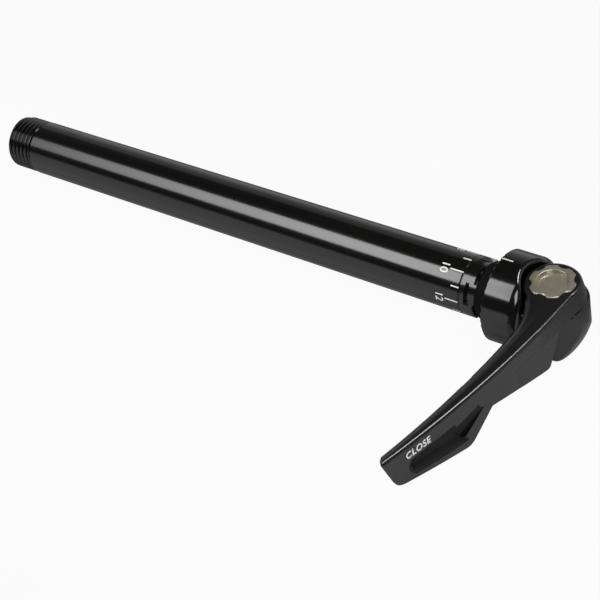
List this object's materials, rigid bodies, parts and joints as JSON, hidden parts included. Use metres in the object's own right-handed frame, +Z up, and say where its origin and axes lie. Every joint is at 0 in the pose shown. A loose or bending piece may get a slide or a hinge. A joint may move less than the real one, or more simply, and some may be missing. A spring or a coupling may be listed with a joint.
{
  "type": "bicycle thru axle",
  "caption": "Hollow bicycle thru axle with a threaded end, a toothed clamping head and a folding quick-release cam lever on a lobed pin.",
  "frame": {"origin": "on the axle's axis, near the middle of the smooth shaft", "axes": "+X along the axle towards the lever, +Z up as the axle lies on a table, -Y towards the closed lever's tip"},
  "size_m": [0.1842, 0.0771, 0.023],
  "materials": {
    "black_anodised": "gloss black anodised",
    "silver_pin": "bright satin steel",
    "steel": "plain steel",
    "bronze": "sintered bronze",
    "seal_rubber": "matt black rubber"
  },
  "bodies": {
    "axle": {"axle_tube": "black_anodised", "index_crown": "black_anodised", "draw_rod": "steel", "lock_washer": "steel", "lock_screw": "steel", "return_spring": "steel"},
    "head": {"clamp_head": "black_anodised", "neck_seal": "seal_rubber", "upper_bush": "bronze", "lower_bush": "bronze"},
    "lever": {"cam_lever": "black_anodised", "cam_pin": "silver_pin", "clip_washer": "steel", "pin_clip": "steel"}
  },
  "joints": [
    {"name": "head_slide", "type": "slide", "parent": "axle", "child": "head", "axis": [1, 0, 0], "range_m": [0, 0.00133]},
    {"name": "lever_swing", "type": "hinge", "parent": "head", "child": "lever", "pos_m": [0.09395, 0, 0], "axis": [0, -0.1567, 0.9876], "range_deg": [0, 140]}
  ],
  "couplings": [
    {"joint": "head_slide", "follows": "lever_swing", "m_per_rad": 0.000542}
  ]
}
